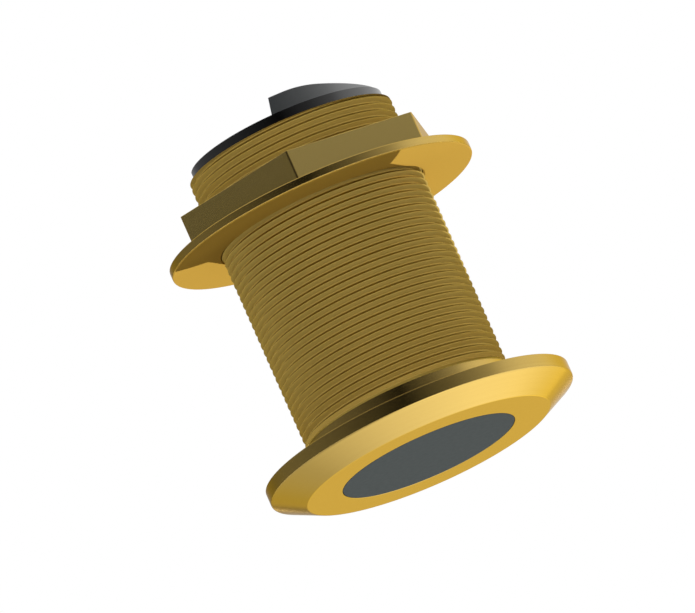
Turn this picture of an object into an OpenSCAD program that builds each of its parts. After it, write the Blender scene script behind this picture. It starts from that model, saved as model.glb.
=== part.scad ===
// Thru-hull sonar transducer: a flanged, threaded bronze housing with a flush sonar window,
// a flanged hull nut on the stem and a moulded cable cap on top.
// Millimetres, +Z up the stem, origin at the centre of the sonar face.

/* [Flange] */
// Diameter of the flange at its rim
flange_d = 90.5; // [84:0.1:100]
// Outer diameter of the flat ring around the window
face_d = 72.9; // [62:0.1:80]
// Height of the sloped face between the flat ring and the rim
slope_h = 4.7; // [2:0.1:6]
// Height of the hull seat above the sonar face
flange_h = 8.5; // [7:0.1:14]
// Radius of the rounded lower rim edges of the flange and the nut
rim_round = 0.5; // [0.2:0.05:0.9]
// Radius of the rounded upper rim edges of the flange and the nut
rim_top_round = 0.2; // [0.1:0.05:0.4]

/* [Stem] */
// Diameter of the stem over the thread crests
stem_d = 60.3; // [58.5:0.1:64]
// Height of the stem's top edge above the sonar face
stem_h = 96.5; // [90:0.5:140]
// Length of the smooth neck between the hull seat and the thread
neck_h = 6.1; // [3:0.1:12]
// Wall of the stem between its bore and the thread crests
stem_wall = 4.35; // [3.5:0.05:6]
// Edge break at the stem's top and at the bore's mouths
edge_break = 0.4; // [0.1:0.05:0.6]

/* [Thread] */
// Distance from one thread crest to the next
thread_pitch = 2.071; // [1.9:0.001:3]
// Depth of the thread grooves
thread_depth = 1.27; // [0.8:0.01:1.5]
// Width of the flat thread crests
thread_crest = 0.26; // [0.15:0.01:0.5]
// Plain land between the top groove and the stem's top edge
thread_land = 1.1; // [0.7:0.05:2]
// Angle between the two flanks of a groove
thread_angle = 60; // [40:1:70]

/* [Hull nut] */
// Height of the nut's hull side above the sonar face
nut_seat_h = 73.9; // [30:0.1:80]
// Width of the nut's flange outside the hexagon's corners
nut_ledge = 4.55; // [2:0.01:8]
// Thickness of the nut's flange at its rim
nut_flange_t = 2.5; // [1.5:0.1:4]
// Rise of the nut's flange from its rim to the hexagon
nut_flange_rise = 0.8; // [0.1:0.1:2]
// Wall of the hexagon between the nut's bore and its flats
nut_wall = 4.685; // [3:0.005:8]
// Height of the whole nut
nut_h = 11.9; // [8:0.1:20]
// Turn of the hexagon about the stem, in degrees
nut_turn = 27.07; // [0:0.01:60]
// Radial running clearance between the nut and the thread crests
nut_clearance = 0.09; // [0.03:0.01:0.1]
// Depth of the lead-in chamfers at the ends of the nut's bore
nut_lead_in = 0.4; // [0.2:0.1:1.5]

/* [Cable cap] */
// Distance of the cap's edge inside the thread crests
cap_inset = 1.7; // [0.8:0.1:3]
// Height of the cap's base above the stem
cap_base_h = 2.9; // [2.6:0.1:5]
// Height of the hood above the cap's base
hood_h = 4.8; // [4.3:0.1:8]
// Distance of the hood's flat end from the stem's axis, at its top edge
hood_end_x = -0.6; // [-4:0.1:3]
// Draft of the hood's flat end, in degrees
hood_draft = 11.5; // [0:0.5:15]
// Distance from the hood's flat end to where its level top and its slope would meet
hood_level_l = 9.5; // [9:0.1:15]
// Radius of the bend between the hood's level top and its slope
hood_bend_r = 38; // [10:1:40]
// Distance of the slope's toe inside the cap's edge
hood_toe_inset = 1.45; // [0.5:0.05:6]
// Depth of the cap's spigot in the bore
spigot_h = 5; // [3:0.1:9]
// Wall of the cap's spigot
spigot_wall = 2.2; // [1.5:0.1:4]

/* [Cable inlet] */
// Diameter of the inlet bore in the hood's flat end
inlet_d = 5.8; // [4:0.1:6]
// Height of the inlet's axis above the cap's base
inlet_axis_h = 1; // [0.6:0.1:1.2]
// Depth of the inlet bore behind the hood's flat end, at its axis
inlet_depth = 9.5; // [8:0.1:10]
// Clearance of the cable's trough around the inlet's width and floor
trough_clearance = 0.2; // [0.1:0.05:0.4]
// Diameter of the hole that takes the conductors down through the cap
conductor_hole_d = 4.4; // [3:0.1:5]

/* [Acoustic stack] */
// Thickness of the acoustic window
window_t = 4; // [3.5:0.1:8]
// Height of the window's retaining rib
rib_h = 1.2; // [0.8:0.1:1.6]
// Depth of the rib's groove in the bronze
rib_depth = 0.8; // [0.4:0.1:1.2]
// Thickness of the soft sleeve between the ceramic disc and the bore
sleeve_t = 3.7; // [2.5:0.1:5]
// Thickness of the ceramic disc
piezo_t = 10; // [6:0.1:14]
// Edge break of the ceramic disc
piezo_chamfer = 0.5; // [0.1:0.1:1]
// Thickness of the pad behind the disc
backing_t = 4; // [3:0.1:8]
// Gap left for the bond line between pieces that are glued or potted
bond_gap = 0.05; // [0.02:0.01:0.1]

/* [Matching transformer] */
// Outside diameter of the pot core
core_d = 30; // [28:0.1:32]
// Height of the two core halves together
core_h = 18.8; // [16:0.1:24]
// Inside diameter of the core's outer wall
core_window_d = 25; // [23.5:0.1:26]
// Diameter of the core's centre post
core_post_d = 13.3; // [11:0.1:14.5]
// Diameter of the hole through the centre post
core_hole_d = 5.5; // [4.6:0.1:6.5]
// Thickness of the core's end plates
core_plate_t = 2.9; // [2:0.1:4]
// Width of the lead slots in the core's wall
core_slot_w = 3.2; // [2.6:0.1:6]
// Room above and below the leads in the core's slots
core_slot_room = 0.4; // [0.2:0.1:1]
// Height of the core above the backing pad
core_standoff = 10; // [7:0.1:16]
// Wall of the bobbin's tube and flanges
bobbin_wall = 0.8; // [0.5:0.1:1.2]
// Depth of the winding below the bobbin's flange edge
winding_inset = 0.7; // [0.2:0.1:1.5]

/* [Core screw] */
// Diameter of the core screw
screw_d = 4; // [3:0.1:4.3]
// Diameter of the screw's head
screw_head_d = 7; // [6:0.1:9]
// Height of the screw's head
screw_head_h = 2.6; // [2:0.1:4]
// Width of the driver slot in the screw's head
driver_slot_w = 1.2; // [0.8:0.1:1.6]
// Depth of the driver slot in the screw's head
driver_slot_depth = 1.2; // [0.6:0.1:1.6]
// Outside diameter of the washers
washer_d = 9; // [8:0.1:12]
// Thickness of the washers
washer_t = 0.8; // [0.5:0.1:1.2]
// Width of the core nut across its flats
core_nut_across_flats = 7; // [6:0.1:9]
// Height of the core nut
core_nut_h = 3.2; // [2:0.1:4]
// Length of screw that stands out below the core nut
screw_tail = 1; // [0.2:0.1:2]

/* [Wiring] */
// Diameter of the insulated leads
lead_d = 1.6; // [1:0.1:1.8]
// Distance of the leads from the core's wall
lead_standoff = 0.6; // [0.3:0.1:1.6]
// Height of each lead's entry above or below the core's middle
lead_entry_h = 1.6; // [1.2:0.1:2.4]
// Inside radius of the leads' bends
lead_bend = 1; // [0.6:0.1:1.6]
// Diameter of the solder joints on the ceramic disc
solder_d = 4; // [3:0.1:4.4]
// Height of the solder joints
solder_h = 1.2; // [0.6:0.1:2]
// Wall of the solder at the top of a joint
solder_lip = 0.2; // [0.1:0.05:0.4]
// Height of the splice sleeves above the core
splice_rise = 12; // [8:0.5:16]
// Length of the splice sleeves
splice_h = 14; // [10:0.5:18]
// Wall of the splice sleeves
splice_wall = 0.7; // [0.4:0.1:0.7]
// How far a lead reaches into its splice sleeve
splice_insert = 5; // [3:0.5:8]

/* [Thermistor] */
// Diameter of the thermistor's bead
bead_d = 4.8; // [4.4:0.1:5.4]
// Height of the thermistor's bead
bead_h = 6; // [4:0.1:9]
// Size of the taper at the bead's tip
bead_taper = 1.2; // [0.4:0.1:2]
// Distance of the bead from the bronze wall
bead_wall_gap = 0.8; // [0.4:0.1:1.4]
// Height of the bead above the backing pad
bead_rise = 2; // [1:0.1:6]
// Diameter of the thermistor's leads
bead_lead_d = 0.7; // [0.4:0.1:0.8]
// Spacing of the thermistor's leads
bead_lead_pitch = 2.54; // [2.45:0.01:2.8]

/* [Hidden] */
// Radii of what turns about the stem's axis
flange_r = flange_d / 2;
stem_r = stem_d / 2;
bore_r = stem_r - stem_wall;
fill_r = bore_r - bond_gap;
piezo_r = fill_r - sleeve_t - bond_gap;
nut_bore_r = stem_r + nut_clearance;
nut_flat_r = nut_bore_r + nut_wall;
nut_corner_r = nut_flat_r / cos(30);
nut_rim_r = nut_corner_r + nut_ledge;
cap_r = stem_r - cap_inset;
spigot_bore_r = fill_r - spigot_wall;

// Heights up the stem
thread_z = flange_h + neck_h;
cap_z = stem_h;
hood_z = cap_z + cap_base_h;
piezo_z = window_t;
backing_z = piezo_z + piezo_t;
fill_z = backing_z + backing_t;
fill_shoulder_z = stem_h - spigot_h;
core_z = fill_z + core_standoff;
core_mid_z = core_z + core_h / 2;
core_top_z = core_z + core_h;
splice_z = core_top_z + splice_rise;
rib_z = (window_t - rib_h) / 2;

// Thread form, cut from the stem's top edge downwards
thread_flank = thread_depth * tan(thread_angle / 2);
thread_groove = thread_pitch - thread_crest;
thread_root_r = stem_r - thread_depth;
thread_turns = floor((stem_h - thread_land - thread_z) / thread_pitch);

// Cable inlet
inlet_r = inlet_d / 2;
inlet_z = hood_z + inlet_axis_h;
hood_foot_x = hood_end_x - hood_h * tan(hood_draft);
hood_bend_x = hood_end_x + hood_level_l;
hood_toe_x = cap_r - hood_toe_inset;
hood_slope = atan(hood_h / (hood_toe_x - hood_bend_x));
hood_arc_x = hood_bend_x - hood_bend_r * tan(hood_slope / 2);
inlet_mouth_x = hood_foot_x + inlet_axis_h * tan(hood_draft);
inlet_end_x = inlet_mouth_x + inlet_depth;
conductor_hole_x = inlet_end_x - inlet_r;

// Leads and splices stand on one circle around the core
lead_circle_r = core_d / 2 + lead_standoff + lead_d / 2;
lead_bend_r = lead_bend + lead_d / 2;
winding_r = core_window_d / 2 - winding_inset - bond_gap;
bead_x = fill_r - bead_wall_gap - bead_d / 2;
bead_top_z = fill_z + bead_rise + bead_h;

// Overlap of a cutting tool past the face that it cuts
cut = 1;
// Steps in a rounded edge
round_steps = 4;
$fn = 96;

// Finishes
bronze = "#CFA642";
urethane = "#50565A";
black_plastic = "#2B2D2F";
ceramic_silver = "#D8D8D2";
cork = "#B98F5E";
ferrite = "#3C3C40";
nylon = "#EDE9DC";
copper = "#B8693A";
brass = "#C9A45C";
solder_grey = "#B9BCBE";
compound = "#3A2E22";

// Points on an arc about a centre, from one angle to another
function arc(centre, radius, from, to) = [
    for (i = [0:round_steps])
        let (a = from + (to - from) * i / round_steps)
        centre + radius * [cos(a), sin(a)]
];

// Section of one thread groove whose upper corner lies at height z
function groove(z) = [
    [stem_r, z - thread_groove],
    [thread_root_r, z - thread_groove + thread_flank],
    [thread_root_r, z - thread_flank],
    [stem_r, z]
];

// Section of the thread from the neck up to the land below the stem's top
function thread_section() = [
    for (i = [thread_turns - 1:-1:0])
        each groove(stem_h - thread_land - i * thread_pitch)
];

// Turned ring between two radii and two heights
module ring(inner_r, outer_r, z, h) {
    rotate_extrude()
        translate([inner_r, z])
            square([outer_r - inner_r, h]);
}

// Round bar standing at a place on the plan
module post(x, y, z, d, h) {
    translate([x, y, z])
        cylinder(d = d, h = h);
}

// One bronze piece: flange, smooth neck and threaded stem, bored right through
module thru_hull_housing() {
    slope_angle = atan(slope_h / (flange_r - face_d / 2));
    color(bronze)
        difference() {
            rotate_extrude()
                polygon(concat(
                    [[bore_r, 0], [face_d / 2, 0]],
                    arc([flange_r - rim_round, slope_h + rim_round * tan(45 - slope_angle / 2)],
                        rim_round, slope_angle - 90, 0),
                    arc([flange_r - rim_top_round, flange_h - rim_top_round], rim_top_round, 0, 90),
                    [[stem_r, flange_h]],
                    thread_section(),
                    [
                        [stem_r, stem_h - edge_break],
                        [stem_r - edge_break, stem_h],
                        [bore_r + edge_break, stem_h],
                        [bore_r, stem_h - edge_break]
                    ]
                ));
            ring(bore_r - cut, bore_r + rib_depth, rib_z, rib_h);
        }
}

// One bronze piece: hexagon on a thin round flange that bears on the inside of the hull
module hull_nut() {
    color(bronze)
        translate([0, 0, nut_seat_h])
            difference() {
                union() {
                    rotate_extrude()
                        polygon(concat(
                            [[nut_bore_r, 0]],
                            arc([nut_rim_r - rim_round, rim_round], rim_round, -90, 0),
                            arc([nut_rim_r - rim_top_round, nut_flange_t - rim_top_round], rim_top_round, 0, 90),
                            [[nut_flat_r, nut_flange_t + nut_flange_rise],
                             [nut_bore_r, nut_flange_t + nut_flange_rise]]
                        ));
                    rotate(nut_turn)
                        translate([0, 0, rim_round])
                            cylinder(r = nut_corner_r, h = nut_h - rim_round, $fn = 6);
                }
                translate([0, 0, -cut])
                    cylinder(r = nut_bore_r, h = nut_h + 2 * cut);
                cylinder(r1 = nut_bore_r + nut_lead_in, r2 = nut_bore_r, h = nut_lead_in);
                translate([0, 0, nut_h - nut_lead_in])
                    cylinder(r1 = nut_bore_r, r2 = nut_bore_r + nut_lead_in, h = nut_lead_in);
            }
}

// Cast disc, flush with the face and keyed into the housing's groove
module acoustic_window() {
    color(urethane)
        rotate_extrude()
            polygon([
                [0, 0],
                [fill_r, 0],
                [fill_r, rib_z + bond_gap],
                [fill_r + rib_depth, rib_z + bond_gap],
                [fill_r + rib_depth, rib_z + rib_h - bond_gap],
                [fill_r, rib_z + rib_h - bond_gap],
                [fill_r, window_t],
                [0, window_t]
            ]);
}

// Ceramic disc whose electrode wraps round to the rear face
module piezo_disc() {
    color(ceramic_silver)
        translate([0, 0, piezo_z])
            rotate_extrude()
                polygon([
                    [0, 0],
                    [piezo_r - piezo_chamfer, 0],
                    [piezo_r, piezo_chamfer],
                    [piezo_r, piezo_t - piezo_chamfer],
                    [piezo_r - piezo_chamfer, piezo_t],
                    [0, piezo_t]
                ]);
}

// Soft ring that keeps the disc and its pad off the bronze
module isolation_sleeve() {
    color(cork)
        ring(piezo_r + bond_gap, fill_r, piezo_z, piezo_t + backing_t);
}

// Soft pad behind the disc, holed for the two joints
module backing_pad() {
    color(cork)
        difference() {
            post(0, 0, backing_z, 2 * piezo_r, backing_t);
            at_lead_sides()
                post(lead_circle_r, 0, backing_z - cut, solder_d + 2 * bond_gap, backing_t + 2 * cut);
        }
}

// Places its children at the two lead sides, front and rear of the core
module at_lead_sides() {
    for (side = [-90, 90])
        rotate(side)
            children();
}

// Tinned cones that hold the leads on the rear electrode
module solder_joints() {
    color(solder_grey)
        at_lead_sides()
            difference() {
                translate([lead_circle_r, 0, backing_z])
                    cylinder(d1 = solder_d, d2 = lead_d + 2 * (bond_gap + solder_lip), h = solder_h);
                post(lead_circle_r, 0, backing_z - cut, lead_d + 2 * bond_gap, solder_h + 2 * cut);
            }
}

// Lead on the +X side: a leg from an end height to a bend, then in to the winding.
// The leg runs down from the bend when end_z lies below entry_z, and up when it lies above.
module bent_lead(end_z, entry_z, d) {
    rise = entry_z > end_z ? 1 : -1;
    leg = abs(entry_z - end_z) - lead_bend_r;
    translate([0, 0, entry_z])
        mirror([0, 0, rise > 0 ? 0 : 1]) {
            translate([winding_r + bond_gap, 0, 0])
                rotate([0, 90, 0])
                    cylinder(d = d, h = lead_circle_r - lead_bend_r - winding_r - bond_gap);
            translate([lead_circle_r - lead_bend_r, 0, -lead_bend_r])
                rotate([90, 0, 0])
                    rotate_extrude(angle = 90)
                        translate([lead_bend_r, 0])
                            circle(d = d);
            post(lead_circle_r, 0, -lead_bend_r - leg, d, leg);
        }
}

// Lead from the ceramic disc up to the winding
module disc_lead(d) {
    bent_lead(backing_z, core_mid_z - lead_entry_h, d);
}

// Lead from the winding up into its splice
module output_lead(d) {
    bent_lead(splice_z + splice_insert, core_mid_z + lead_entry_h, d);
}

module hot_lead() {
    color("firebrick")
        rotate(90)
            disc_lead(lead_d);
}

module ground_lead() {
    color("dimgray")
        rotate(-90)
            disc_lead(lead_d);
}

// Two leads that the cable's conductors are spliced to
module output_leads() {
    color("steelblue")
        at_lead_sides()
            output_lead(lead_d);
}

// Half of the pot core, with its open side up and slots for the leads
module core_half() {
    half_h = core_h / 2;
    slot_depth = lead_entry_h + lead_d / 2 + core_slot_room;
    color(ferrite)
        difference() {
            rotate_extrude()
                difference() {
                    translate([core_hole_d / 2, 0])
                        square([(core_d - core_hole_d) / 2, half_h]);
                    translate([core_post_d / 2, core_plate_t])
                        square([(core_window_d - core_post_d) / 2, half_h]);
                }
            at_lead_sides()
                translate([core_post_d / 2 + cut, -core_slot_w / 2, half_h - slot_depth])
                    cube([core_d / 2, core_slot_w, slot_depth + cut]);
        }
}

module core_lower() {
    translate([0, 0, core_z])
        core_half();
}

module core_upper() {
    translate([0, 0, core_top_z])
        mirror([0, 0, 1])
            core_half();
}

// Moulded spool on the core's centre post
module bobbin() {
    inner_r = core_post_d / 2 + bond_gap;
    outer_r = core_window_d / 2 - bond_gap;
    z = core_z + core_plate_t;
    h = core_h - 2 * core_plate_t;
    color(nylon)
        rotate_extrude()
            difference() {
                translate([inner_r, z])
                    square([outer_r - inner_r, h]);
                translate([inner_r + bobbin_wall, z + bobbin_wall])
                    square([outer_r, h - 2 * bobbin_wall]);
            }
}

// Enamelled copper wire, wound full
module winding() {
    color(copper)
        ring(core_post_d / 2 + bobbin_wall + 2 * bond_gap,
             winding_r,
             core_z + core_plate_t + bobbin_wall,
             core_h - 2 * (core_plate_t + bobbin_wall));
}

// Slotted screw that clamps the core halves
module core_screw() {
    head_z = core_top_z + washer_t;
    shank_h = core_h + 2 * washer_t + core_nut_h + screw_tail;
    color(brass)
        difference() {
            union() {
                post(0, 0, head_z - shank_h, screw_d, shank_h + screw_head_h / 2);
                post(0, 0, head_z, screw_head_d, screw_head_h);
            }
            translate([-screw_head_d, -driver_slot_w / 2, head_z + screw_head_h - driver_slot_depth])
                cube([2 * screw_head_d, driver_slot_w, driver_slot_depth + cut]);
        }
}

// Two fibre washers, under the screw's head and over its nut
module core_washers() {
    color("peru")
        for (z = [core_z - washer_t, core_top_z])
            ring(screw_d / 2 + bond_gap, washer_d / 2, z, washer_t);
}

module core_nut() {
    z = core_z - washer_t - core_nut_h;
    color(brass)
        difference() {
            translate([0, 0, z])
                cylinder(d = core_nut_across_flats / cos(30), h = core_nut_h, $fn = 6);
            post(0, 0, z - cut, screw_d + 2 * bond_gap, core_nut_h + 2 * cut);
        }
}

// Dipped bead that reads the water's temperature through the bronze
module thermistor() {
    color("black")
        translate([bead_x, 0, fill_z + bead_rise])
            rotate_extrude()
                polygon([
                    [0, 0],
                    [bead_d / 2 - bead_taper, 0],
                    [bead_d / 2, bead_taper],
                    [bead_d / 2, bead_h],
                    [0, bead_h]
                ]);
}

// Places its children at the two thermistor leads
module at_bead_leads() {
    for (side = [-1, 1])
        translate([bead_x, side * bead_lead_pitch / 2, 0])
            children();
}

module thermistor_leads() {
    color("silver")
        at_bead_leads()
            post(0, 0, bead_top_z, bead_lead_d, splice_z + splice_insert - bead_top_z);
}

// Sleeve around the end of a lead
module splice_sleeve(d) {
    difference() {
        post(0, 0, splice_z, d + 2 * splice_wall + 2 * bond_gap, splice_h);
        post(0, 0, splice_z - cut, d + 2 * bond_gap, splice_insert + cut);
    }
}

// Four sleeves where the cable's conductors are joined on
module splice_sleeves() {
    color("white") {
        at_lead_sides()
            translate([lead_circle_r, 0, 0])
                splice_sleeve(lead_d);
        at_bead_leads()
            splice_sleeve(bead_lead_d);
    }
}

// Room in the compound for the transformer, the wiring and the thermistor
module fill_pockets() {
    lead_pocket_d = lead_d + 2 * bond_gap;
    bead_pocket_d = bead_lead_d + 2 * bond_gap;
    post(0, 0, core_z - bond_gap, core_d + 2 * bond_gap, core_h + 2 * bond_gap);
    post(0, 0, core_z - washer_t, washer_d + 2 * bond_gap, core_h + 2 * washer_t);
    post(0, 0, core_z - washer_t - core_nut_h,
         core_nut_across_flats / cos(30) + 2 * bond_gap, core_nut_h + cut);
    post(0, 0, core_z - washer_t - core_nut_h - screw_tail - bond_gap,
         screw_d + 2 * bond_gap, screw_tail + cut);
    post(0, 0, core_top_z, screw_head_d + 2 * bond_gap, washer_t + screw_head_h + bond_gap);
    at_lead_sides() {
        disc_lead(lead_pocket_d);
        output_lead(lead_pocket_d);
        post(lead_circle_r, 0, splice_z, lead_d + 2 * splice_wall + 4 * bond_gap, splice_h + bond_gap);
    }
    at_bead_leads() {
        post(0, 0, bead_top_z, bead_pocket_d, splice_z - bead_top_z + cut);
        post(0, 0, splice_z, bead_lead_d + 2 * splice_wall + 4 * bond_gap, splice_h + bond_gap);
    }
    post(bead_x, 0, fill_z + bead_rise - bond_gap, bead_d + 2 * bond_gap, bead_h + 2 * bond_gap);
}

// Compound poured into the stem, stepped in at the top for the cap's spigot
module potting_fill() {
    color(compound)
        difference() {
            union() {
                post(0, 0, fill_z, 2 * fill_r, fill_shoulder_z - fill_z);
                post(0, 0, fill_z, 2 * (spigot_bore_r - bond_gap), stem_h - fill_z);
            }
            fill_pockets();
        }
}

// Side view of the hood, drawn in X and Z
module hood_section() {
    polygon(concat(
        [[hood_foot_x, hood_z], [hood_end_x, hood_z + hood_h]],
        arc([hood_arc_x, hood_z + hood_h - hood_bend_r], hood_bend_r, 90, 90 - hood_slope),
        [[hood_toe_x, hood_z]]
    ));
}

// Moulded cap: round base, half-moon hood, spigot and the cable's inlet
module top_cap() {
    color(black_plastic)
        difference() {
            union() {
                post(0, 0, cap_z, 2 * cap_r, cap_base_h);
                ring(spigot_bore_r, fill_r, fill_shoulder_z, spigot_h + cap_base_h / 2);
                intersection() {
                    post(0, 0, cap_z, 2 * cap_r, cap_base_h + hood_h);
                    translate([0, cap_r, 0])
                        rotate([90, 0, 0])
                            linear_extrude(2 * cap_r)
                                hood_section();
                }
            }
            translate([inlet_mouth_x - cut, 0, inlet_z])
                rotate([0, 90, 0])
                    cylinder(r = inlet_r, h = inlet_depth + cut);
            translate([-cap_r - cut, -inlet_r - trough_clearance, inlet_z - inlet_r - trough_clearance])
                cube([cap_r + cut + hood_foot_x, inlet_d + 2 * trough_clearance, cap_base_h + hood_h]);
            post(conductor_hole_x, 0, cap_z - cut, conductor_hole_d, cap_base_h + inlet_axis_h + cut);
        }
}

thru_hull_housing();
hull_nut();
acoustic_window();
piezo_disc();
isolation_sleeve();
backing_pad();
solder_joints();
hot_lead();
ground_lead();
core_lower();
core_upper();
bobbin();
winding();
core_screw();
core_washers();
core_nut();
output_leads();
thermistor();
thermistor_leads();
splice_sleeves();
potting_fill();
top_cap();
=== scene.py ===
"""Dresses the bronze thru-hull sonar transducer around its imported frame, lights it and sets the camera.

The four pieces that show are modelled again with their fine form: a helical thread, broken edges
and a moulded cap. The pieces inside the stem keep their solids and get a finish each.
Sizes are in millimetres and angles in degrees.
"""

import contextlib
import logging
import math
from dataclasses import dataclass
from enum import Enum
from typing import Any, Callable, Iterator, Sequence

import bmesh
import bpy
from mathutils import Matrix, Vector


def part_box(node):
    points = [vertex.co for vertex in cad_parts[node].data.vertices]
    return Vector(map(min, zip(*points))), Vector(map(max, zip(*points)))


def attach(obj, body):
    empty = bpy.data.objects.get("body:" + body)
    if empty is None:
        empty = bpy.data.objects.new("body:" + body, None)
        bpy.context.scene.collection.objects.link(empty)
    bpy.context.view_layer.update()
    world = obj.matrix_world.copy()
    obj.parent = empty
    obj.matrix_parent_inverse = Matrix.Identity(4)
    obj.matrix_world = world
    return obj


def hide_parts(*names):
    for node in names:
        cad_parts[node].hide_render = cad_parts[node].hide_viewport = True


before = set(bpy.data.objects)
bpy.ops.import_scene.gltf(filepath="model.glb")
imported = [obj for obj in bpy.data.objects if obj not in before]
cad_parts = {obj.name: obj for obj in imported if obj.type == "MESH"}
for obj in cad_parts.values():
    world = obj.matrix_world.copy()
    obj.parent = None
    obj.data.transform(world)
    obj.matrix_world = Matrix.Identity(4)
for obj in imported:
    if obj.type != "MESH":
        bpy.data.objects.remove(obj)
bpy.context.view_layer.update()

Point = tuple[float, float]
FaceTest = Callable[[Vector, Vector], bool]
EdgeTest = Callable[[Vector, Vector], bool]

LOG = logging.getLogger("sonar_transducer")
MM = 0.001
# The two corners of a box that the frame gives
LOW, HIGH = 0, 1
TURN_STEPS = 144
HOLE_STEPS = TURN_STEPS // 3
ROUND_STEPS = 4
BEVEL_STEPS = 3
SMOOTH_ANGLE = math.radians(31)
WELD_GAP = 0.004 * MM
# How far a cutting tool reaches past the piece that it cuts
CUT_PAST = 2.0
# A face looks up where its normal's Z is over this, and down where it is under minus this
UPWARD = 0.3
QUARTER_TURN = 0.25
# From one corner of a hexagon to the next
HEX_STEP = 60.0
MARK_DETAIL = 3.0
GRAIN_DETAIL = 4.0
# The wave texture turns by this many radians over one unit of its scaled place
WAVE_RADIANS = 20.0


def linear_colour(hex_colour: str) -> tuple[float, float, float, float]:
    """Turns an sRGB hex colour into the linear values that shaders take.

    Args:
        hex_colour: Colour as "#RRGGBB".

    Returns:
        Linear red, green and blue, and a full alpha.
    """
    levels = [int(hex_colour[i:i + 2], 16) / 255 for i in (1, 3, 5)]
    red, green, blue = (c / 12.92 if c <= 0.04045 else ((c + 0.055) / 1.055) ** 2.4 for c in levels)
    return red, green, blue, 1.0


def arc(centre: Point, radius: float, start: float, end: float, steps: int = ROUND_STEPS) -> list[Point]:
    """Points on a rounded edge or a bend of a section.

    Args:
        centre: Centre of the round.
        radius: Radius of the round.
        start: Angle of the first point, in degrees.
        end: Angle of the last point, in degrees.
        steps: Number of steps from the first point to the last.

    Returns:
        The points in order, both ends among them.
    """
    angles = [math.radians(start + (end - start) * i / steps) for i in range(steps + 1)]
    return [(centre[0] + radius * math.cos(a), centre[1] + radius * math.sin(a)) for a in angles]


def bare_tree(owner: bpy.types.Material | bpy.types.World) -> bpy.types.NodeTree:
    """Switches a material or a world to nodes and clears those that it starts with.

    Args:
        owner: The material or world.

    Returns:
        Its empty node tree.
    """
    owner.use_nodes = True
    owner.node_tree.nodes.clear()
    return owner.node_tree


def add_node(
    tree: bpy.types.NodeTree, kind: str, inputs: dict[int | str, Any] | None = None, **settings: Any
) -> bpy.types.Node:
    """Adds a shader node, sets its properties and fills its sockets.

    Args:
        tree: Node tree that takes the node.
        kind: Type of the node, without its ShaderNode prefix.
        inputs: For each socket, by name or number, a value or the output that feeds it.
        settings: Properties of the node.

    Returns:
        The new node.
    """
    node = tree.nodes.new("ShaderNode" + kind)
    for name, value in settings.items():
        setattr(node, name, value)
    for socket, value in (inputs or {}).items():
        if isinstance(value, bpy.types.NodeSocket):
            tree.links.new(value, node.inputs[socket])
        else:
            node.inputs[socket].default_value = value
    return node


class Pattern(Enum):
    """How a surface was made, which sets the pattern that its finish shows."""

    GRAIN = "fine grain of a cast, moulded or pressed surface"
    TURNED = "tool marks round the stem's axis"
    CHIPS = "pressed chips of two colours"
    WOUND = "turns of wire, one above the other"


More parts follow.
